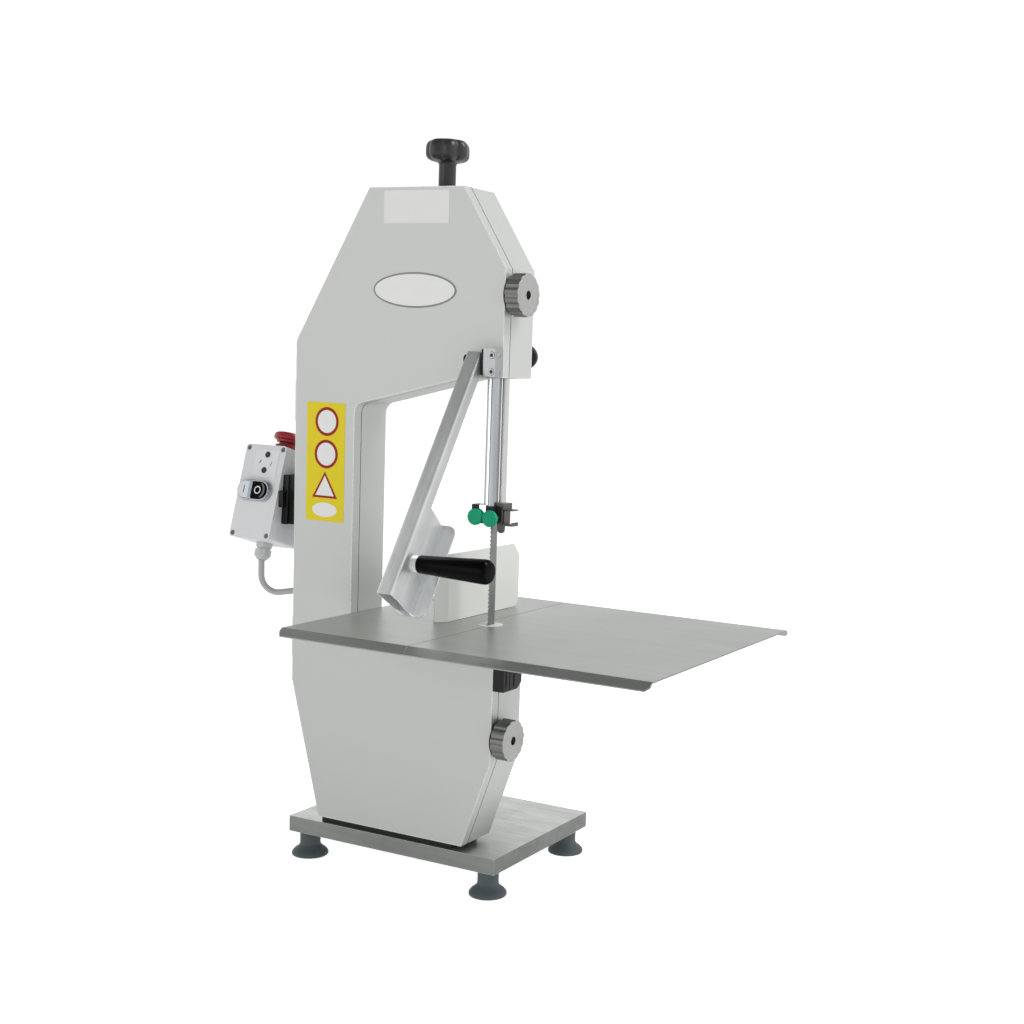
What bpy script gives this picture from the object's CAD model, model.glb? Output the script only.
"""A small upright band saw: cabinet with a hinged door, table, pusher arm and switch box.

The door faces -Y, X runs to the right seen from the door, and Z is up from the floor.
The carried-over CAD pieces get finishes and rounded edges. The blade, the tension knob and
the door labels are built anew; a door seal, button marks and screw heads are added.
"""
import bpy, bmesh, math
from mathutils import Vector, Matrix


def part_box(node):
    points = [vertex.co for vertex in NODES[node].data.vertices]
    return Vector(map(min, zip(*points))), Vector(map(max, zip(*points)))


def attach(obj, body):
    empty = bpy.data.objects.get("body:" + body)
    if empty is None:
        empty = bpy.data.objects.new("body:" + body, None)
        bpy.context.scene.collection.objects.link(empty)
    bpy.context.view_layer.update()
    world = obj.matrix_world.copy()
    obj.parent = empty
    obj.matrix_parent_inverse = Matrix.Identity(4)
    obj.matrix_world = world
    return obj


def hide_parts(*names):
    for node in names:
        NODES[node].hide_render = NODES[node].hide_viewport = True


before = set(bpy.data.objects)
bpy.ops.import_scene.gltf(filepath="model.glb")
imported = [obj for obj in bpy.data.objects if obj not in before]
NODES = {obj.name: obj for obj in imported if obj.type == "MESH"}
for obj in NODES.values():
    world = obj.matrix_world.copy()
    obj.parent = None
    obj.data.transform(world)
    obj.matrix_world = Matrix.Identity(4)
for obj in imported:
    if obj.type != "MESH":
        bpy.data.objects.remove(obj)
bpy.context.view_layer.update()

TRAY_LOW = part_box("base_tray")[0]
DOOR_SETBACK = 1          # mm from the front of the base tray back to the door face
rad = math.radians

ARM_TILT = rad(32)        # lean of the pusher arm about X
BOX_TILT = rad(16)        # lean of the switch box about X


def cabinet(x, y, z):
    """Millimetres from the cabinet's left side, door face and floor to scene metres."""
    return Vector((TRAY_LOW.x + x / 1000, TRAY_LOW.y + (y + DOOR_SETBACK) / 1000, z / 1000))


def linear(rgb):
    """An sRGB colour in bytes as a linear RGBA colour."""
    decode = lambda c: (c / 255 / 12.92) if c <= 10 else ((c / 255 + 0.055) / 1.055) ** 2.4
    return tuple(decode(c) for c in rgb) + (1.0,)


# ------------------------------------------------------------------ shader graphs
class Graph:
    """Short methods for building a node tree; each returns its output socket."""

    def __init__(self, tree):
        self.tree = tree
        tree.nodes.clear()

    def node(self, kind, **props):
        n = self.tree.nodes.new(kind)
        for key, value in props.items():
            setattr(n, key, value)
        return n

    def link(self, source, target):
        self.tree.links.new(source, target)

    def put(self, node, values, first=0):
        """Fill a node's inputs in order, with sockets or plain values."""
        for i, value in enumerate(values, first):
            if hasattr(value, "links"):
                self.link(value, node.inputs[i])
            else:
                node.inputs[i].default_value = value

    def mapping(self, vector, rot=(0, 0, 0), scale=(1, 1, 1)):
        n = self.node("ShaderNodeMapping")
        n.inputs["Rotation"].default_value = rot
        n.inputs["Scale"].default_value = scale
        self.link(vector, n.inputs["Vector"])
        return n.outputs[0]

    def noise(self, vector, scale, detail=3.0, rough=0.55, warp=0.0):
        n = self.node("ShaderNodeTexNoise")
        n.inputs["Scale"].default_value = scale
        n.inputs["Detail"].default_value = detail
        n.inputs["Roughness"].default_value = rough
        n.inputs["Distortion"].default_value = warp
        self.link(vector, n.inputs["Vector"])
        return n.outputs[0]

    def math(self, op, a, b=0.0, c=0.0, clamp=False):
        n = self.node("ShaderNodeMath", operation=op, use_clamp=clamp)
        self.put(n, (a, b, c))
        return n.outputs[0]

    def swing(self, value, reach, middle=0.0):
        """Turn a 0..1 value into middle - reach .. middle + reach."""
        return self.math("MULTIPLY_ADD", value, 2 * reach, middle - reach)

    def ramp(self, value, span, to=(0.0, 1.0)):
        n = self.node("ShaderNodeMapRange", clamp=True)
        self.put(n, (value, *span, *to))
        return n.outputs[0]

    def mix(self, factor, a, b):
        n = self.node("ShaderNodeMix", data_type="RGBA")
        self.put(n, (factor,))
        self.put(n, (a, b), first=6)
        return n.outputs[2]

    def scale(self, colour, factor):
        n = self.node("ShaderNodeVectorMath", operation="SCALE")
        n.inputs[0].default_value = colour[:3]
        self.link(factor, n.inputs[3])
        return n.outputs[0]

    def split(self, vector):
        n = self.node("ShaderNodeSeparateXYZ")
        self.link(vector, n.inputs[0])
        return n.outputs


class MaterialGraph(Graph):
    """A material with its output, Principled shader and texture coordinates in place."""

    def __init__(self, name):
        self.material = bpy.data.materials.new(name)
        self.material.use_nodes = True
        super().__init__(self.material.node_tree)
        self.out = self.node("ShaderNodeOutputMaterial")
        self.shader = self.node("ShaderNodeBsdfPrincipled")
        self.link(self.shader.outputs[0], self.out.inputs[0])
        self.coords = self.node("ShaderNodeTexCoord").outputs["Object"]

    def set(self, **values):
        for key, value in values.items():
            self.shader.inputs[key.replace("_", " ")].default_value = value


# ------------------------------------------------------------------ materials
MATS = {}


def stretched(axis, scale):
    """A texture scale that draws the pattern out along one axis."""
    return tuple(scale if a == axis else 1 for a in "xyz")


def surface(name, rgb, rough, metal=0.0, turn=0.0, brush=None, cloud=(8, 0.04, 0.06),
            grain=(2200, 0.02), wear=(0.0009, 0.35), worn=None, bump=0.12, depth=0.00015,
            coat=(0.0, 0.1), spec=0.5, scratch=0.0, grime=0.0, sheen=0.0, dim_off_z=0.0,
            dim_off_x=0.0, streak=0.0, fade_z=None, fade_x=None):
    """One procedural finish.

    turn: texture turn about X          brush: axis, scale, tone swing, roughness swing
    cloud: scale, tone swing, roughness swing      grain: scale, tone swing
    wear: edge radius in metres and strength       worn: edge colour, else a lighter base
    bump, depth: strength and distance in metres   coat: weight, roughness
    scratch, grime, streak: strengths
    dim_off_z, dim_off_x: tone lost by faces turned away from that axis (negative brightens)
    fade_z, fade_x: start, end, tone at the start; the tone is 1 at the end
    """
    g = MaterialGraph(name)
    base = linear(rgb)
    p = g.mapping(g.coords, rot=(turn, 0, 0))
    cloud_scale, cloud_tone, cloud_rough = cloud
    clouds = g.noise(p, cloud_scale, detail=4.0, rough=0.6, warp=0.6)
    grains = g.noise(p, grain[0], detail=2.0, rough=0.6)
    tone = g.swing(clouds, cloud_tone, 1)
    tone = g.math("ADD", tone, g.swing(grains, grain[1]))
    roughness = g.swing(clouds, cloud_rough, rough)
    height = g.math("MULTIPLY", grains, 0.35)
    if brush:
        axis, scale, brush_tone, brush_rough = brush
        lines = g.mapping(p, scale=stretched(axis, 0.010))
        fine = g.noise(lines, scale, detail=3.0, rough=0.7)
        coarse = g.noise(lines, scale * 0.23, detail=2.0, rough=0.5)
        brushed = g.math("MULTIPLY_ADD", fine, 0.65, g.math("MULTIPLY", coarse, 0.35))
        tone = g.math("ADD", tone, g.swing(brushed, brush_tone))
        roughness = g.math("ADD", roughness, g.swing(brushed, brush_rough))
        height = g.math("ADD", height, brushed)
    if scratch:     # sparse slanting lines, in patches
        slant = g.mapping(p, rot=(0.4, 0.7, 0.3), scale=stretched("y", 0.03))
        marks = g.ramp(g.noise(slant, 420.0, detail=1.0, rough=0.5), span=(0.68, 0.74))
        patches = g.ramp(g.noise(p, 22.0, detail=2.0), span=(0.5, 0.7))
        marks = g.math("MULTIPLY", marks, patches)
        tone = g.math("ADD", tone, g.math("MULTIPLY", marks, scratch))
        height = g.math("SUBTRACT", height, g.math("MULTIPLY", marks, 0.6))
    for axis_index, dim in ((2, dim_off_z), (0, dim_off_x)):
        if dim:
            facing = g.split(g.node("ShaderNodeNewGeometry").outputs["Normal"])[axis_index]
            facing = g.math("ABSOLUTE", facing)
            tone = g.math("MULTIPLY", tone, g.ramp(facing, span=(0.0, 0.9), to=(1 - dim, 1.0)))
    if streak:      # broad streaks along the brushing
        bands = g.mapping(p, scale=stretched(axis, 0.12))
        bands = g.noise(bands, 48.0, detail=3.0, rough=0.6, warp=0.8)
        bands = g.ramp(bands, span=(0.3, 0.7), to=(1 - streak, 1 + streak * 0.6))
        tone = g.math("MULTIPLY", tone, bands)
    for axis_index, fade in ((2, fade_z), (0, fade_x)):
        if fade:
            along = g.split(g.coords)[axis_index]
            tone = g.math("MULTIPLY", tone, g.ramp(along, span=fade[:2], to=(fade[2], 1.0)))
    colour = g.scale(base, tone)
    if grime:
        dirt = g.ramp(g.noise(p, 14.0, detail=5.0, rough=0.7, warp=1.2), span=(0.52, 0.72))
        dirty = (base[0] * 0.45, base[1] * 0.45, base[2] * 0.43, 1)
        colour = g.mix(g.math("MULTIPLY", dirt, grime), colour, dirty)
        roughness = g.math("ADD", roughness, g.math("MULTIPLY", dirt, grime * 0.2))
    if wear:        # edges show where the rounded normal leaves the true one
        rounded = g.node("ShaderNodeBevel", samples=4)
        rounded.inputs["Radius"].default_value = wear[0]
        true = g.node("ShaderNodeNewGeometry")
        dot = g.node("ShaderNodeVectorMath", operation="DOT_PRODUCT")
        g.put(dot, (rounded.outputs[0], true.outputs["Normal"]))
        edge = g.ramp(g.math("SUBTRACT", 1.0, dot.outputs["Value"]), span=(0.01, 0.16))
        patches = g.noise(p, 260.0, detail=4.0, rough=0.7)
        edge = g.math("MULTIPLY", edge, g.ramp(patches, span=(0.32, 0.62), to=(0.25, 1.0)))
        edge = g.math("MULTIPLY", edge, wear[1])
        lighter = tuple(min(1.0, c * 1.35) for c in base[:3]) + (1.0,)
        colour = g.mix(edge, colour, linear(worn) if worn else lighter)
        roughness = g.math("SUBTRACT", roughness, g.math("MULTIPLY", edge, 0.12))
    g.link(colour, g.shader.inputs["Base Color"])
    roughness = g.math("MAXIMUM", roughness, 0.03, clamp=True)
    g.link(roughness, g.shader.inputs["Roughness"])
    g.set(Metallic=metal, Specular_IOR_Level=spec, Coat_Weight=coat[0],
          Coat_Roughness=coat[1], Sheen_Weight=sheen)
    relief = g.node("ShaderNodeBump")
    relief.inputs["Strength"].default_value = bump
    relief.inputs["Distance"].default_value = depth
    g.link(height, relief.inputs["Height"])
    g.link(relief.outputs[0], g.shader.inputs["Normal"])
    MATS[name] = g.material


# Metals and painted steel
surface("cabinet_satin", (200, 202, 199), 0.40, metal=0.35, brush=("x", 1700, 0.018, 0.05),
        cloud=(5, 0.025, 0.03), grain=(2200, 0.03), wear=(0.0023, 0.95), worn=(254, 254, 252),
        bump=0.10, scratch=0.03)
surface("tray_steel", (186, 189, 186), 0.33, metal=0.9, brush=("x", 1500, 0.07, 0.10),
        cloud=(14, 0.14, 0.06), wear=(0.0012, 0.6), worn=(240, 240, 238), bump=0.22,
        scratch=0.06, grime=0.18, dim_off_z=0.54, dim_off_x=-0.30, streak=0.16)
surface("table_steel", (170, 174, 170), 0.36, metal=0.9, brush=("x", 1500, 0.045, 0.08),
        cloud=(7, 0.055, 0.06), wear=(0.0010, 0.5), worn=(232, 233, 231), bump=0.16,
        scratch=0.06, dim_off_z=0.38, streak=0.05, fade_x=(-0.15, 0.14, 1.24))
surface("gauge_satin", (226, 227, 223), 0.46, brush=("z", 1500, 0.02, 0.06),
        cloud=(10, 0.025, 0.06), wear=(0.0010, 0.5), worn=(240, 241, 239), bump=0.10)
surface("arm_steel", (180, 182, 182), 0.31, metal=0.66, turn=ARM_TILT,
        brush=("z", 1500, 0.08, 0.10), cloud=(22, 0.10, 0.06), wear=(0.0008, 0.25),
        worn=(236, 237, 237), bump=0.24, scratch=0.08, dim_off_x=-0.32, streak=0.14,
        fade_z=(0.40, 0.62, 1.62))
surface("block_steel", (166, 168, 168), 0.32, metal=1.0, brush=("x", 1300, 0.09, 0.10),
        cloud=(90, 0.16, 0.06), wear=(0.0007, 0.3), worn=(240, 240, 240), bump=0.22)
surface("machined_steel", (160, 163, 165), 0.34, metal=1.0, brush=("y", 1300, 0.06, 0.12),
        cloud=(30, 0.06, 0.06), bump=0.2)
surface("zinc_steel", (176, 180, 182), 0.30, metal=1.0, cloud=(60, 0.08, 0.06),
        grain=(1500, 0.05))
surface("polished_steel", (182, 186, 190), 0.16, metal=1.0, brush=("z", 1300, 0.03, 0.05),
        cloud=(18, 0.03, 0.03), wear=(0.0005, 0.35), bump=0.06, dim_off_x=-0.95)
surface("post_steel", (216, 218, 216), 0.22, metal=0.9, brush=("z", 1300, 0.04, 0.05),
        cloud=(18, 0.04, 0.06), wear=(0.0005, 0.35), bump=0.08, dim_off_x=-0.40)
surface("blade_steel", (138, 140, 139), 0.34, metal=1.0, brush=("z", 1500, 0.12, 0.10),
        cloud=(26, 0.10, 0.06), wear=(0.0004, 0.6), worn=(215, 216, 214), bump=0.2, grime=0.25)
surface("wheel_cast", (168, 170, 168), 0.42, metal=0.9, cloud=(20, 0.08, 0.06),
        grain=(900, 0.06), bump=0.35, depth=0.0003)
surface("knob_aluminium", (176, 177, 175), 0.42, metal=0.85, brush=("x", 1300, 0.09, 0.10),
        cloud=(60, 0.07, 0.06), grain=(1100, 0.07), wear=(0.0010, 0.6), worn=(235, 235, 233),
        bump=0.18, grime=0.35, dim_off_x=0.52)
surface("rod_holder_steel", (104, 102, 98), 0.42, metal=0.85, cloud=(60, 0.16, 0.10),
        grain=(1200, 0.08), wear=(0.0009, 0.6), worn=(168, 168, 164), bump=0.25)

# Plastics, rubber and small parts
surface("black_plastic", (19, 19, 20), 0.40, cloud=(40, 0.12, 0.08), grain=(1500, 0.12),
        wear=(0.0008, 0.35), worn=(96, 96, 96), bump=0.25, depth=0.0001, spec=0.3)
surface("black_lobed", (40, 40, 40), 0.34, cloud=(30, 0.12, 0.06), grain=(1300, 0.12),
        wear=(0.0015, 0.30), worn=(110, 110, 110), bump=0.22, depth=0.0001, coat=(0.15, 0.3))
surface("gloss_black", (5, 5, 5), 0.18, cloud=(25, 0.15, 0.05), grain=(900, 0.08),
        wear=(0.0008, 0.25), worn=(46, 48, 48), bump=0.05, spec=0.04, coat=(0.03, 0.06))
surface("black_steel", (34, 34, 35), 0.38, metal=0.7, cloud=(60, 0.15, 0.06),
        wear=(0.0006, 0.5), worn=(120, 120, 118), bump=0.2)
surface("grey_abs", (234, 236, 238), 0.46, turn=BOX_TILT, cloud=(16, 0.02, 0.05),
        grain=(1500, 0.03), wear=(0.0012, 0.3), worn=(236, 238, 240), bump=0.22, depth=0.00012)
surface("white_pom", (226, 228, 222), 0.36, cloud=(60, 0.04, 0.06), grain=(1500, 0.03),
        wear=(0.0006, 0.3))
surface("white_lens", (232, 234, 236), 0.20, turn=BOX_TILT, cloud=(80, 0.03, 0.06),
        wear=(0.0006, 0.4), bump=0.05, coat=(0.5, 0.08))
surface("legend_white", (240, 241, 242), 0.38, turn=BOX_TILT, cloud=(60, 0.02, 0.06),
        wear=(0.0003, 0.2), bump=0.06)
surface("blue_lens", (166, 186, 206), 0.18, turn=BOX_TILT, cloud=(80, 0.05, 0.06),
        wear=(0.0003, 0.35), bump=0.05, coat=(0.6, 0.1))
surface("bezel_chrome", (176, 181, 187), 0.24, metal=1.0, turn=BOX_TILT,
        brush=("x", 1300, 0.04, 0.12), cloud=(60, 0.05, 0.06), wear=(0.0006, 0.6),
        worn=(240, 242, 244), bump=0.08)
surface("estop_red", (168, 26, 44), 0.34, turn=BOX_TILT, cloud=(40, 0.06, 0.06),
        grain=(1400, 0.05), wear=(0.0012, 0.35), worn=(206, 74, 88), coat=(0.35, 0.18))
surface("dark_red", (140, 18, 36), 0.40, turn=BOX_TILT, cloud=(40, 0.08, 0.06),
        grain=(1400, 0.06), wear=(0.0010, 0.35), worn=(190, 60, 76))
surface("mid_grey_plastic", (98, 99, 101), 0.45, cloud=(40, 0.08, 0.06), grain=(2200, 0.06),
        bump=0.2)
surface("green_plastic", (14, 172, 126), 0.46, cloud=(70, 0.08, 0.06), grain=(1300, 0.06),
        wear=(0.0010, 0.4), worn=(70, 190, 150), bump=0.22, depth=0.00012, spec=0.2)
surface("screw_dark", (112, 114, 116), 0.46, metal=0.9, cloud=(80, 0.12, 0.06),
        grain=(1300, 0.06), wear=(0.0004, 0.35), bump=0.2)
surface("foot_rubber", (78, 88, 92), 0.58, cloud=(28, 0.12, 0.10), grain=(900, 0.10),
        wear=(0.0012, 0.3), worn=(110, 120, 124), bump=0.35, depth=0.0002, sheen=0.1)
surface("gasket_rubber", (16, 16, 16), 0.70, cloud=(30, 0.2, 0.06), grain=(2200, 0.1),
        wear=None, bump=0.3)
surface("cable_pvc", (182, 184, 184), 0.44, cloud=(30, 0.04, 0.06), grain=(1200, 0.04),
        wear=None, bump=0.15)
surface("gland_nylon", (196, 198, 198), 0.38, turn=BOX_TILT, cloud=(60, 0.05, 0.06),
        grain=(1300, 0.04), wear=(0.0008, 0.4), worn=(230, 231, 231), bump=0.15)
surface("motor_enamel", (138, 144, 148), 0.36, metal=0.1, cloud=(24, 0.05, 0.06),
        grain=(900, 0.04), wear=(0.0010, 0.4), worn=(190, 194, 196), bump=0.30, depth=0.0002,
        coat=(0.2, 0.1))
surface("copper_winding", (170, 104, 60), 0.36, metal=0.9, brush=("y", 900, 0.15, 0.12),
        cloud=(30, 0.1, 0.06), wear=None, bump=0.4)
surface("bronze", (172, 140, 84), 0.36, metal=1.0, cloud=(50, 0.12, 0.06), bump=0.2)

# Label films
surface("film_white", (238, 239, 237), 0.34, cloud=(30, 0.02, 0.06), grain=(2200, 0.015),
        wear=(0.0004, 0.2), bump=0.05, coat=(0.4, 0.1))
surface("film_rim", (120, 126, 124), 0.34, metal=0.2, cloud=(60, 0.05, 0.06),
        grain=(2200, 0.03), wear=(0.0003, 0.3), bump=0.05, coat=(0.4, 0.1))
surface("film_silver", (212, 213, 211), 0.36, metal=0.45, brush=("x", 1400, 0.02, 0.12),
        cloud=(24, 0.02, 0.06), wear=(0.0004, 0.3), bump=0.05, coat=(0.2, 0.1))
surface("film_yellow", (238, 218, 34), 0.50, cloud=(26, 0.03, 0.06), wear=(0.0004, 0.2),
        bump=0.05, spec=0.25)
surface("film_maroon", (160, 34, 20), 0.50, cloud=(80, 0.06, 0.06), grain=(2200, 0.03),
        wear=None, bump=0.05, spec=0.25)
surface("film_black", (30, 30, 30), 0.40, cloud=(80, 0.1, 0.06), grain=(2200, 0.05),
        wear=None, bump=0.05)

# ------------------------------------------------------------------ carried-over pieces
# piece: (material, edge rounding in mm)
FINISH = {
    "frame_shell": ("cabinet_satin", 1.4), "door_shell": ("cabinet_satin", 1.3),
    "hinge_frame_leaves": ("machined_steel", 0.4), "hinge_door_leaves": ("machined_steel", 0.4),
    "clamp_studs": ("zinc_steel", 0.6), "upper_clamp_knob": ("knob_aluminium", 0.9),
    "lower_clamp_knob": ("knob_aluminium", 0.9), "upper_wheel": ("wheel_cast", 0.8),
    "upper_wheel_bearings": ("zinc_steel", 0.5), "tension_carriage": ("machined_steel", 0.8),
    "tension_guides": ("machined_steel", 0.8), "tension_screw": ("zinc_steel", 0.5),
    "lower_wheel": ("wheel_cast", 0.8), "motor_housing": ("motor_enamel", 0.6),
    "motor_fan_cover": ("black_plastic", 0.5), "motor_stator": ("copper_winding", 0.8),
    "motor_rotor": ("zinc_steel", 0.6), "motor_bearings": ("zinc_steel", 0.5),
    "motor_terminal_box": ("black_plastic", 1.5), "base_tray": ("tray_steel", 1.2),
    "base_gasket": ("gasket_rubber", 0.4), "rubber_feet": ("foot_rubber", 0.7),
    "base_fasteners": ("zinc_steel", 0.5), "left_table_plate": ("table_steel", 0.5),
    "right_table_plate": ("table_steel", 0.5), "blade_insert": ("white_pom", 0.4),
    "table_rails": ("machined_steel", 0.5), "guide_post": ("post_steel", 0.6),
    "post_bushing": ("machined_steel", 0.8), "post_clamp_knob": ("black_plastic", 0.8),
    "blade_guard": ("polished_steel", 0.25), "guide_block": ("black_plastic", 0.7),
    "guide_knob_left": ("green_plastic", 1.0), "guide_knob_right": ("green_plastic", 1.0),
    "rod_holder": ("rod_holder_steel", 1.1), "blade_guides": ("bronze", 0.5),
    "gauge_plate": ("gauge_satin", 0.4), "gauge_knob": ("black_lobed", 0.8),
    "pusher_block": ("block_steel", 0.7), "pusher_pin": ("black_steel", 0.4),
    "pusher_arm": ("arm_steel", 0.35), "pusher_handle": ("gloss_black", 0.7),
    "switch_box": ("grey_abs", 0.9), "switch_cover": ("grey_abs", 0.9),
    "cover_screws": ("screw_dark", 0.25), "button_bezel": ("bezel_chrome", 0.4),
    "start_button": ("white_lens", 1.2), "stop_button": ("gloss_black", 0.9),
    "estop_collar": ("dark_red", 0.6), "estop_plunger": ("dark_red", 0.6),
    "estop_head": ("estop_red", 0.8), "cable_gland": ("gland_nylon", 0.7),
    "power_cable": ("cable_pvc", 0.05), "switch_bracket": ("black_plastic", 1.6),
    "interlock_switch": ("black_plastic", 1.2), "interlock_key": ("black_plastic", 1.0),
    "legend_plate": ("legend_white", 0.15),
}


def round_edges(piece, width, segments, angle):
    bevel = piece.modifiers.new("edge", "BEVEL")
    bevel.limit_method = "ANGLE"
    bevel.angle_limit = rad(angle)
    bevel.width = width / 1000
    bevel.segments = segments
    bevel.harden_normals = True
    return bevel


def set_smooth(mesh, smooth=True):
    mesh.polygons.foreach_set("use_smooth", [smooth] * len(mesh.polygons))


def dress(piece, material, width):
    """Give a CAD piece its material, smooth shading and small rounded edges."""
    mesh = piece.data
    mesh.materials.clear()
    mesh.materials.append(MATS[material])
    if "custom_normal" in mesh.attributes:
        mesh.attributes.remove(mesh.attributes["custom_normal"])
    set_smooth(mesh)
    mesh.polygons.foreach_set("material_index", [0] * len(mesh.polygons))
    weld = piece.modifiers.new("weld", "WELD")
    weld.merge_threshold = 0.000004
    planar = piece.modifiers.new("planar", "DECIMATE")
    planar.decimate_type = "DISSOLVE"
    planar.angle_limit = rad(0.6)
    bevel = round_edges(piece, width, segments=3, angle=28)
    bevel.use_clamp_overlap = True
    bevel.miter_outer = "MITER_ARC"


for name, (material, width) in FINISH.items():
    dress(NODES[name], material, width)


# ------------------------------------------------------------------ mesh helpers
def add_object(name, data):
    obj = bpy.data.objects.new(name, data)
    bpy.context.scene.collection.objects.link(obj)
    return obj


def register(piece, body, replaces=None):
    if replaces:
        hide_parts(replaces)
    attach(piece, body)


def closed_mesh(name, verts, faces, material, smooth):
    """An object from points and faces, with all normals turned outwards."""
    mesh = bpy.data.meshes.new(name)
    mesh.from_pydata([tuple(v) for v in verts], [], faces)
    mesh.update()
    mesh.materials.append(MATS[material])
    if smooth:
        set_smooth(mesh)
    bm = bmesh.new()
    bm.from_mesh(mesh)
    bmesh.ops.recalc_face_normals(bm, faces=bm.faces)
    bm.to_mesh(mesh)
    bm.free()
    return add_object(name, mesh)


def ring_faces(rings, around, spans):
    """Quads joining successive rings of points; spans == rings closes the last to the first."""
    return [(k * around + i, k * around + (i + 1) % around,
             (k + 1) % rings * around + (i + 1) % around, (k + 1) % rings * around + i)
            for k in range(spans) for i in range(around)]


def plate(name, outline, thick, place, material, bevel=0, holes=()):
    """A flat piece from outlines in mm; place maps (across, up, out) to the scene."""
    bm = bmesh.new()
    edges = []
    for points in [outline, *holes]:
        vs = [bm.verts.new((p[0], p[1], 0)) for p in points]
        edges += [bm.edges.new((vs[i], vs[(i + 1) % len(vs)])) for i in range(len(vs))]
    if holes:
        bmesh.ops.triangle_fill(bm, edges=edges, use_beauty=True)
    else:
        bm.faces.new(list(bm.verts))
    bmesh.ops.recalc_face_normals(bm, faces=bm.faces)
    raised = bmesh.ops.extrude_face_region(bm, geom=list(bm.faces))["geom"]
    for item in raised:
        if isinstance(item, bmesh.types.BMVert):
            item.co.z = thick
    for v in bm.verts:
        v.co = place(*v.co)
    bmesh.ops.recalc_face_normals(bm, faces=bm.faces)
    mesh = bpy.data.meshes.new(name)
    bm.to_mesh(mesh)
    bm.free()
    mesh.materials.append(MATS[material])
    set_smooth(mesh, bool(bevel))
    piece = add_object(name, mesh)
    if bevel:
        round_edges(piece, bevel, segments=2, angle=40)
    return piece


def ellipse(cx, cy, a, b, count=96):
    turn = 2 * math.pi
    return [(cx + a * math.cos(turn * i / count), cy + b * math.sin(turn * i / count))
            for i in range(count)]


def circle(cx, cy, radius, count):
    return ellipse(cx, cy, radius, radius, count)


def rounded_rect(x0, y0, x1, y1, r, steps=8):
    corners = ((x1 - r, y1 - r, 0), (x0 + r, y1 - r, 90),
               (x0 + r, y0 + r, 180), (x1 - r, y0 + r, 270))
    angles = [(cx, cy, rad(start + 90 * i / steps))
              for cx, cy, start in corners for i in range(steps + 1)]
    return [(cx + r * math.cos(a), cy + r * math.sin(a)) for cx, cy, a in angles]


def lathe(name, profile, place, material, around, lobes=0, lobe_depth=0.0):
    """A turned piece from rows of (radius, height, share of the lobe depth)."""
    verts = []
    for radius, height, share in profile:
        for i in range(around):
            a = 2 * math.pi * i / around
            crest = 0.5 + 0.5 * math.cos(lobes * a)
            r = radius - share * lobe_depth * (1 - crest ** 0.55)
            verts.append(place(r * math.cos(a), r * math.sin(a), height))
    rings = len(profile)
    faces = ring_faces(rings, around, rings - 1)
    faces.append(tuple(range(around))[::-1])
    faces.append(tuple((rings - 1) * around + i for i in range(around)))
    return closed_mesh(name, verts, faces, material, smooth=True)


# ------------------------------------------------------------------ seal in the door seam
# Door outline (x, z) in mm, anticlockwise seen from the front
DOOR_OUTLINE = [
    (46, 60), (264, 60), (302, 170), (302, 308), (91, 308), (91, 579), (92.2, 584.6),
    (95.6, 589.2), (100.5, 592.2), (243, 628), (302, 631), (302, 757), (242, 850), (107, 850),
    (0, 665), (0, 234)]
SEAL_OUT, SEAL_IN = 0.07, -1.2            # mm outwards from the outline
SEAL_FRONT, SEAL_BACK = 13.75, 14.85      # mm behind the door face


def offset_outline(points, distance):
    """Move a closed outline outwards with mitred corners."""
    moved = []
    for i in range(len(points)):
        a, b, c = (Vector(points[j % len(points)]) for j in (i - 1, i, i + 1))
        d1, d2 = (b - a).normalized(), (c - b).normalized()
        n1, n2 = Vector((d1.y, -d1.x)), Vector((d2.y, -d2.x))
        moved.append(b + distance * (n1 + n2) / (1 + n1.dot(n2)))
    return moved


def door_seal():
    section = ((SEAL_OUT, SEAL_FRONT), (SEAL_OUT, SEAL_BACK),
               (SEAL_IN, SEAL_BACK), (SEAL_IN, SEAL_FRONT))
    verts = [cabinet(q.x, y, q.y)
             for out, y in section for q in offset_outline(DOOR_OUTLINE, out)]
    faces = ring_faces(4, len(DOOR_OUTLINE), 4)
    seal = closed_mesh("door_seal", verts, faces, "gasket_rubber", smooth=False)
    register(seal, "cabinet")


door_seal()

# ------------------------------------------------------------------ toothed blade (metres)
TOOTH_PITCH = 0.00506
# Set-back of the front edge at even steps through one tooth, tip first
TOOTH_STEPS = (0.0, 0.00085, 0.00185, 0.0021, 0.00150)
TIP_SET = (0.0, 0.00012, -0.00012)        # sideways lean of successive tips
BLADE_HALF = 0.00029                      # half thickness
GULLET_LINE = 0.0042                      # from the tips back to the flat of the band
BAND_INSET = 0.0003                       # inside the CAD band, at the sides and the back


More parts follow.
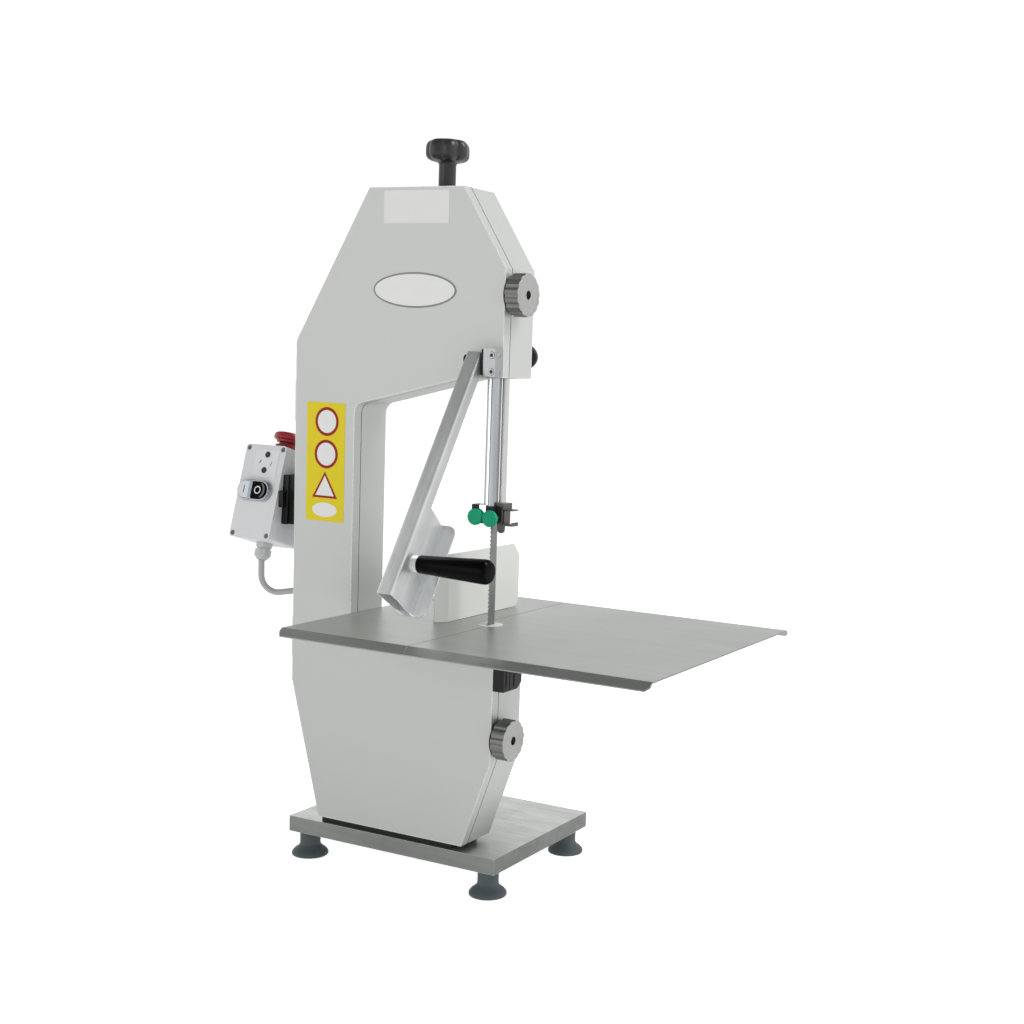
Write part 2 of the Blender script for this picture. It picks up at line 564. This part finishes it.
def blade():
    low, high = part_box("blade_band")
    upper_low, upper_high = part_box("upper_wheel")
    lower_low, lower_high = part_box("lower_wheel")
    middle = (low.x + high.x) / 2
    top, bottom = (upper_low.z + upper_high.z) / 2, (lower_low.z + lower_high.z) / 2
    radius = (high.x - low.x) / 2 - BAND_INSET
    straight = top - bottom
    half_turn = math.pi * radius
    steps = len(TOOTH_STEPS)
    length = 2 * straight + 2 * half_turn
    count = round(length / TOOTH_PITCH) * steps

    def track(s):
        """Point and outward direction at distance s, starting down the right run."""
        if s < straight:
            return Vector((middle + radius, 0, top - s)), Vector((1, 0, 0))
        if s < straight + half_turn:
            a = (s - straight) / radius
            out = Vector((math.cos(a), 0, -math.sin(a)))
            return Vector((middle, 0, bottom)) + out * radius, out
        if s < 2 * straight + half_turn:
            z = bottom + (s - straight - half_turn)
            return Vector((middle - radius, 0, z)), Vector((-1, 0, 0))
        a = (s - 2 * straight - half_turn) / radius
        out = Vector((-math.cos(a), 0, math.sin(a)))
        return Vector((middle, 0, top)) + out * radius, out

    verts = []
    for i in range(count):
        point, out = track(length * i / count)
        tooth, step = divmod(i, steps)
        lean = TIP_SET[tooth % 3] if step == 0 else 0.0
        for side in (-BLADE_HALF, BLADE_HALF):
            verts += [point + out * (side + lean) + Vector((0, low.y + TOOTH_STEPS[step], 0)),
                      point + out * side + Vector((0, low.y + GULLET_LINE, 0)),
                      point + out * side + Vector((0, high.y - BAND_INSET, 0))]
    faces = []
    for i in range(count):
        a, b = i * 6, ((i + 1) % count) * 6
        for j, k in ((0, 1), (1, 2), (2, 5), (5, 4), (4, 3), (3, 0)):
            faces.append((a + j, a + k, b + k, b + j))
    band = closed_mesh("toothed_blade", verts, faces, "blade_steel", smooth=False)
    register(band, "cabinet", replaces="blade_band")


blade()

# ------------------------------------------------------------------ lobed tension knob
KNOB_HEAD = 0.0285        # m from the head's underside to the top of the CAD knob
# Rows: radius in mm, height in m, share of the lobe depth
KNOB_FOOT_ROWS = [        # heights above the foot
    (8.2, 0.0001, 0), (8.6, 0.0006, 0), (8.6, 0.0100, 0), (10.2, 0.0101, 0), (10.6, 0.0108, 0)]
KNOB_HEAD_ROWS = [        # heights above the head's underside
    (10.6, -0.004, 0), (10.9, -0.0015, 0), (12.0, 0, 0), (15.5, 0.0008, 0.1),
    (20.5, 0.0020, 0.45), (24.5, 0.0042, 0.85), (26.6, 0.0072, 1), (27.1, 0.0110, 1),
    (27.1, 0.0170, 1), (26.6, 0.0205, 1), (25.2, 0.0232, 0.95), (22.6, 0.0254, 0.7),
    (19.2, 0.0266, 0.3), (15.0, 0.0272, 0.05), (11.0, 0.0274, 0), (10.4, 0.0270, 0),
    (9.6, 0.0270, 0), (9.0, 0.0277, 0), (6.0, 0.0282, 0), (2.0, 0.0284, 0)]


def tension_knob():
    low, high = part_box("tension_knob")
    screw_low, screw_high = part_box("tension_screw")
    axis = (screw_low + screw_high) / 2
    head = high.z - KNOB_HEAD
    profile = [(r, low.z + h, share) for r, h, share in KNOB_FOOT_ROWS]
    profile += [(r, head + h, share) for r, h, share in KNOB_HEAD_ROWS]
    knob = lathe("lobed_knob", profile,
                 lambda x, y, h: Vector((axis.x + x / 1000, axis.y + y / 1000, h)),
                 "black_lobed", around=210, lobes=7, lobe_depth=4.2)
    register(knob, "tensioner", replaces="tension_knob")


tension_knob()

# ------------------------------------------------------------------ blank plates on the door
BADGE = (175.5, 729.5)                    # centre (x, z)
RINGS = ((49.5, 566.5), (49.0, 526.0))    # centres (x, z)
SIGN_X = 47.6                             # middle of the triangle and the small oval


def door_film(name, outline, thick, material, bevel=0, holes=(), replaces=None):
    film = plate(name, outline, thick, lambda x, z, out: cabinet(x, -out, z), material,
                 bevel, holes)
    register(film, "door", replaces)


def triangle(half_width, foot, rise):
    return [(SIGN_X - half_width, foot), (SIGN_X + half_width, foot), (SIGN_X, foot + rise)]


door_film("badge_field", ellipse(*BADGE, 58.0, 19.6), 0.5, "film_white", 0.25,
          replaces="door_labels")
door_film("badge_rim", ellipse(*BADGE, 59.4, 20.9), 0.75, "film_rim", 0.2,
          [ellipse(*BADGE, 57.2, 18.8)])
door_film("top_film", rounded_rect(129, 807.5, 222, 846, 2), 0.25, "film_silver", 0.08)
door_film("caution_film", rounded_rect(18.5, 442, 77.5, 590, 2), 0.25, "film_yellow", 0.08)
for i, centre in enumerate(RINGS):
    door_film("ring_field_%d" % i, circle(*centre, 15.6, 64), 0.32, "film_white")
    door_film("ring_%d" % i, circle(*centre, 17.9, 64), 0.38, "film_maroon",
              holes=[circle(*centre, 14.2, 64)])
inner = triangle(14.4, foot=474.0, rise=25.2)
door_film("triangle_field", inner, 0.32, "film_white")
door_film("triangle_rim", triangle(19.4, foot=471.2, rise=32.98), 0.38, "film_maroon",
          holes=[inner])
door_film("small_oval", ellipse(SIGN_X, 456.2, 19.0, 9.0, 64), 0.36, "film_white")

# ------------------------------------------------------------------ switch box marks
BOX_X, BOX_Y, BOX_Z = -30, 19.5, 526.7    # origin of the box face in cabinet mm
BUTTON_U, BUTTON_V = -36, -57.8           # middle of the button pair: right, up the face
BUTTON_TOP, BUTTON_SUNK = 9.0, 8.9        # mm out of the face where the button marks start
LEGEND_TOP = 0.6                          # the same for the legend marks
OFF_U = BUTTON_U + 10.2


def box_mark(name, outline, thick, level, material, body, bevel=0, holes=()):
    """A plate on the leaning box face, starting level mm out of it."""
    def place(u, v, out):
        d = -level - out
        return cabinet(BOX_X + u, BOX_Y + d * math.cos(BOX_TILT) + v * math.sin(BOX_TILT),
                       BOX_Z - d * math.sin(BOX_TILT) + v * math.cos(BOX_TILT))
    register(plate(name, outline, thick, place, material, bevel, holes), body)


def arc(du, a, b, angles):
    return [(BUTTON_U + du + a * math.cos(rad(t)), BUTTON_V + b * math.sin(rad(t)))
            for t in angles]


def tilted_bar(u, v, angle=rad(62), half_length=2.6, half_width=0.5):
    ca, sa = math.cos(angle), math.sin(angle)
    corners = ((-half_length, -half_width), (half_length, -half_width),
               (half_length, half_width), (-half_length, half_width))
    return [(u + x * ca - y * sa, v + x * sa + y * ca) for x, y in corners]


box_mark("on_mark", rounded_rect(BUTTON_U - 12.6, BUTTON_V - 5.0, BUTTON_U - 11.2,
                                 BUTTON_V + 5.0, 0.6, 4),
         0.12, BUTTON_TOP, "mid_grey_plastic", "start")
stripe = [(BUTTON_U + u, BUTTON_V + v)
          for u, v in ((-4.6, -10.6), (-0.8, -10.6), (-0.8, 10.6), (-4.6, 10.6))]
box_mark("blue_stripe", stripe, 0.25, BUTTON_SUNK, "blue_lens", "start", 0.1)
box_mark("off_ring", circle(OFF_U, BUTTON_V, 5.2, 48), 0.14, BUTTON_TOP, "legend_white",
         "stop", holes=[circle(OFF_U, BUTTON_V, 3.7, 48)])
crescent = arc(11.2, 10.6, 10.6, range(-62, 63, 4)) + arc(8.2, 10.9, 10.3, range(58, -59, -4))
box_mark("silver_edge", crescent, 0.3, BUTTON_SUNK, "screw_dark", "stop")
for i, (u, v) in enumerate(((-27.4, -9.4), (-28.7, -30.0))):
    box_mark("legend_dot_%d" % i, circle(u, v, 4.0, 40), 0.5, LEGEND_TOP, "film_black",
             "cabinet", 0.15)
for i, (u, v) in enumerate(((-37.5, -19.0), (-19.5, -21.0))):
    box_mark("legend_bar_%d" % i, tilted_bar(u, v), 0.12, LEGEND_TOP, "film_black",
             "cabinet")


# ------------------------------------------------------------------ small hardware
def socket_screw(name, place, radius, socket, height, material, body):
    """A round screw head with a hexagon socket and a dark socket floor."""
    head = plate(name, circle(0, 0, radius, 48), height, place, material, 0.18,
                 [circle(0, 0, socket, 6)])
    register(head, body)
    floor_disc = plate(name + "_floor", circle(0, 0, socket * 1.02, 24), 0.05,
                       lambda u, v, d: place(u, v, d + 0.02), "film_black")
    register(floor_disc, body)


# Pusher block: socket screws on the front, plain heads on the right side
SIDE_HEAD = [(1.9, 0.0, 0), (2.12, 0.0003, 0), (2.12, 0.0012, 0), (1.8, 0.0015, 0)]
for i, z in enumerate((637.5, 656.5)):
    socket_screw("block_screw_%d" % i, lambda u, v, d: cabinet(297.2 + u, -16.85 - d, z + v),
                 radius=3.7, socket=2.4, height=0.9, material="zinc_steel",
                 body="door")
    side_head = lathe("side_screw_%d" % i, SIDE_HEAD,
                      lambda u, v, h: cabinet(300.2, -7.5, z) + Vector((h, u / 1000, v / 1000)),
                      "zinc_steel", around=40)
    register(side_head, "door")

# Ends of the clamp studs, facing right
for i, z in enumerate((199, 727)):
    socket_screw("stud_end_%d" % i, lambda u, v, d: cabinet(320.25 + d, 14.25 + u, z + v),
                 radius=3.9, socket=2.1, height=0.5, material="black_steel",
                 body="cabinet")

# Black rings near the left ends of the clamp knobs: radius in mm, x in m from the right face
WASHER = [(22.4, -0.0030, 0), (23.2, -0.0026, 0), (23.2, -0.0002, 0), (22.6, 0.0001, 0)]
WASHER_INSET = 0.0052     # m from the knob's left end
for i, body in enumerate(("lower_clamp", "upper_clamp")):
    low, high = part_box(body + "_knob")
    centre = (low + high) / 2
    ring = lathe("knob_washer_%d" % i,
                 [(r, low.x + WASHER_INSET + x, share) for r, x, share in WASHER],
                 lambda u, v, h: Vector((h, centre.y + u / 1000, centre.z + v / 1000)),
                 "black_plastic", around=96)
    register(ring, body)

# ------------------------------------------------------------------ camera
CAMERA_PLACE = cabinet(1207.89, -1465.99, 646.85)
YAW, PITCH, ROLL = rad(26.012), rad(7.49), rad(2.60)      # to the left, down, about the view


def camera():
    data = bpy.data.cameras.new("camera")
    data.sensor_width = 36
    data.lens = 51.5288671875
    data.shift_x = -0.126572265625
    data.shift_y = 0.05017578125
    data.clip_end = 100
    forward = Vector((-math.sin(YAW) * math.cos(PITCH), math.cos(YAW) * math.cos(PITCH),
                      -math.sin(PITCH)))
    level = Vector((math.cos(YAW), math.sin(YAW), 0))
    up = level.cross(forward)
    right = level * math.cos(ROLL) + up * math.sin(ROLL)
    rolled_up = -level * math.sin(ROLL) + up * math.cos(ROLL)
    obj = add_object("camera", data)
    matrix = Matrix((right, rolled_up, -forward)).transposed().to_4x4()
    matrix.translation = CAMERA_PLACE
    obj.matrix_world = matrix
    bpy.context.scene.camera = obj


camera()


# ------------------------------------------------------------------ floor
def floor_material():
    """Matt white that glows more to the camera than to the scene."""
    g = MaterialGraph("floor_white")
    mottle = g.noise(g.coords, 3.0, detail=2.0)
    colour = g.scale((0.9, 0.9, 0.9), g.swing(mottle, 0.005, 1))
    g.link(colour, g.shader.inputs["Base Color"])
    g.set(Roughness=0.9, Specular_IOR_Level=0.1)
    glow = g.node("ShaderNodeEmission")
    seen = g.node("ShaderNodeLightPath").outputs["Is Camera Ray"]
    g.link(g.ramp(seen, span=(0.0, 1.0), to=(0.32, 0.76)), glow.inputs["Strength"])
    total = g.node("ShaderNodeAddShader")
    g.put(total, (g.shader.outputs[0], glow.outputs[0]))
    g.link(total.outputs[0], g.out.inputs[0])
    return g.material


def floor():
    material = floor_material()
    bm = bmesh.new()
    bmesh.ops.create_grid(bm, x_segments=8, y_segments=8, size=14)
    mesh = bpy.data.meshes.new("floor")
    bm.to_mesh(mesh)
    bm.free()
    mesh.materials.append(material)
    sheet = add_object("floor", mesh)
    sheet.location = (0, 4, 0)


floor()

# ------------------------------------------------------------------ world
# Brightness from straight down (0) to straight up (1)
SKY = [(0.0, 0.90), (0.50, 1.06), (0.62, 1.06), (0.72, 0.86), (0.84, 0.38), (1.0, 0.16)]


def studio_world():
    """A grey sky, dimmer towards the front; the camera sees plain white."""
    world = bpy.data.worlds.new("studio")
    bpy.context.scene.world = world
    world.use_nodes = True
    g = Graph(world.node_tree)
    out = g.node("ShaderNodeOutputWorld")
    sky = g.node("ShaderNodeBackground")
    direction = g.split(g.node("ShaderNodeTexCoord").outputs["Generated"])
    height = g.ramp(direction["Z"], span=(-1, 1))
    shades = g.node("ShaderNodeValToRGB")
    g.link(height, shades.inputs[0])
    elements = shades.color_ramp.elements
    ends = ((elements[0], SKY[0]), (elements[1], SKY[-1]))
    for element, (position, value) in ends:
        element.position = position
        element.color = (value, value, value, 1)
    for position, value in SKY[1:-1]:
        elements.new(position).color = (value, value, value, 1)
    g.link(shades.outputs[0], sky.inputs[0])
    g.link(g.ramp(direction["Y"], span=(-0.95, 0.25), to=(0.62, 1.0)), sky.inputs[1])
    plain = g.node("ShaderNodeBackground")
    plain.inputs[0].default_value = (1.06, 1.06, 1.06, 1)
    seen = g.node("ShaderNodeLightPath").outputs["Is Camera Ray"]
    pick = g.node("ShaderNodeMixShader")
    g.put(pick, (seen, sky.outputs[0], plain.outputs[0]))
    g.link(pick.outputs[0], out.inputs[0])


studio_world()


# ------------------------------------------------------------------ lights
def area_light(name, place, target, side, power):
    light = bpy.data.lights.new(name, "AREA")
    light.shape = "RECTANGLE"
    light.size = light.size_y = side
    light.energy = power
    obj = bpy.data.objects.new(name, light)
    obj.location = place
    aim = Vector(target) - Vector(place)
    obj.rotation_euler = aim.to_track_quat("-Z", "Y").to_euler()
    bpy.context.scene.collection.objects.link(obj)


area_light("key", place=(-1.9, -3.2, 0.9), target=(0, 0, 0.45), side=2.0, power=12)
area_light("side", place=(1.9, 0.6, 2.9), target=(0, 0, 0.65), side=1.5, power=52)

view = bpy.context.scene.view_settings
view.view_transform = "Standard"
view.look = "None"
view.exposure = 0.0
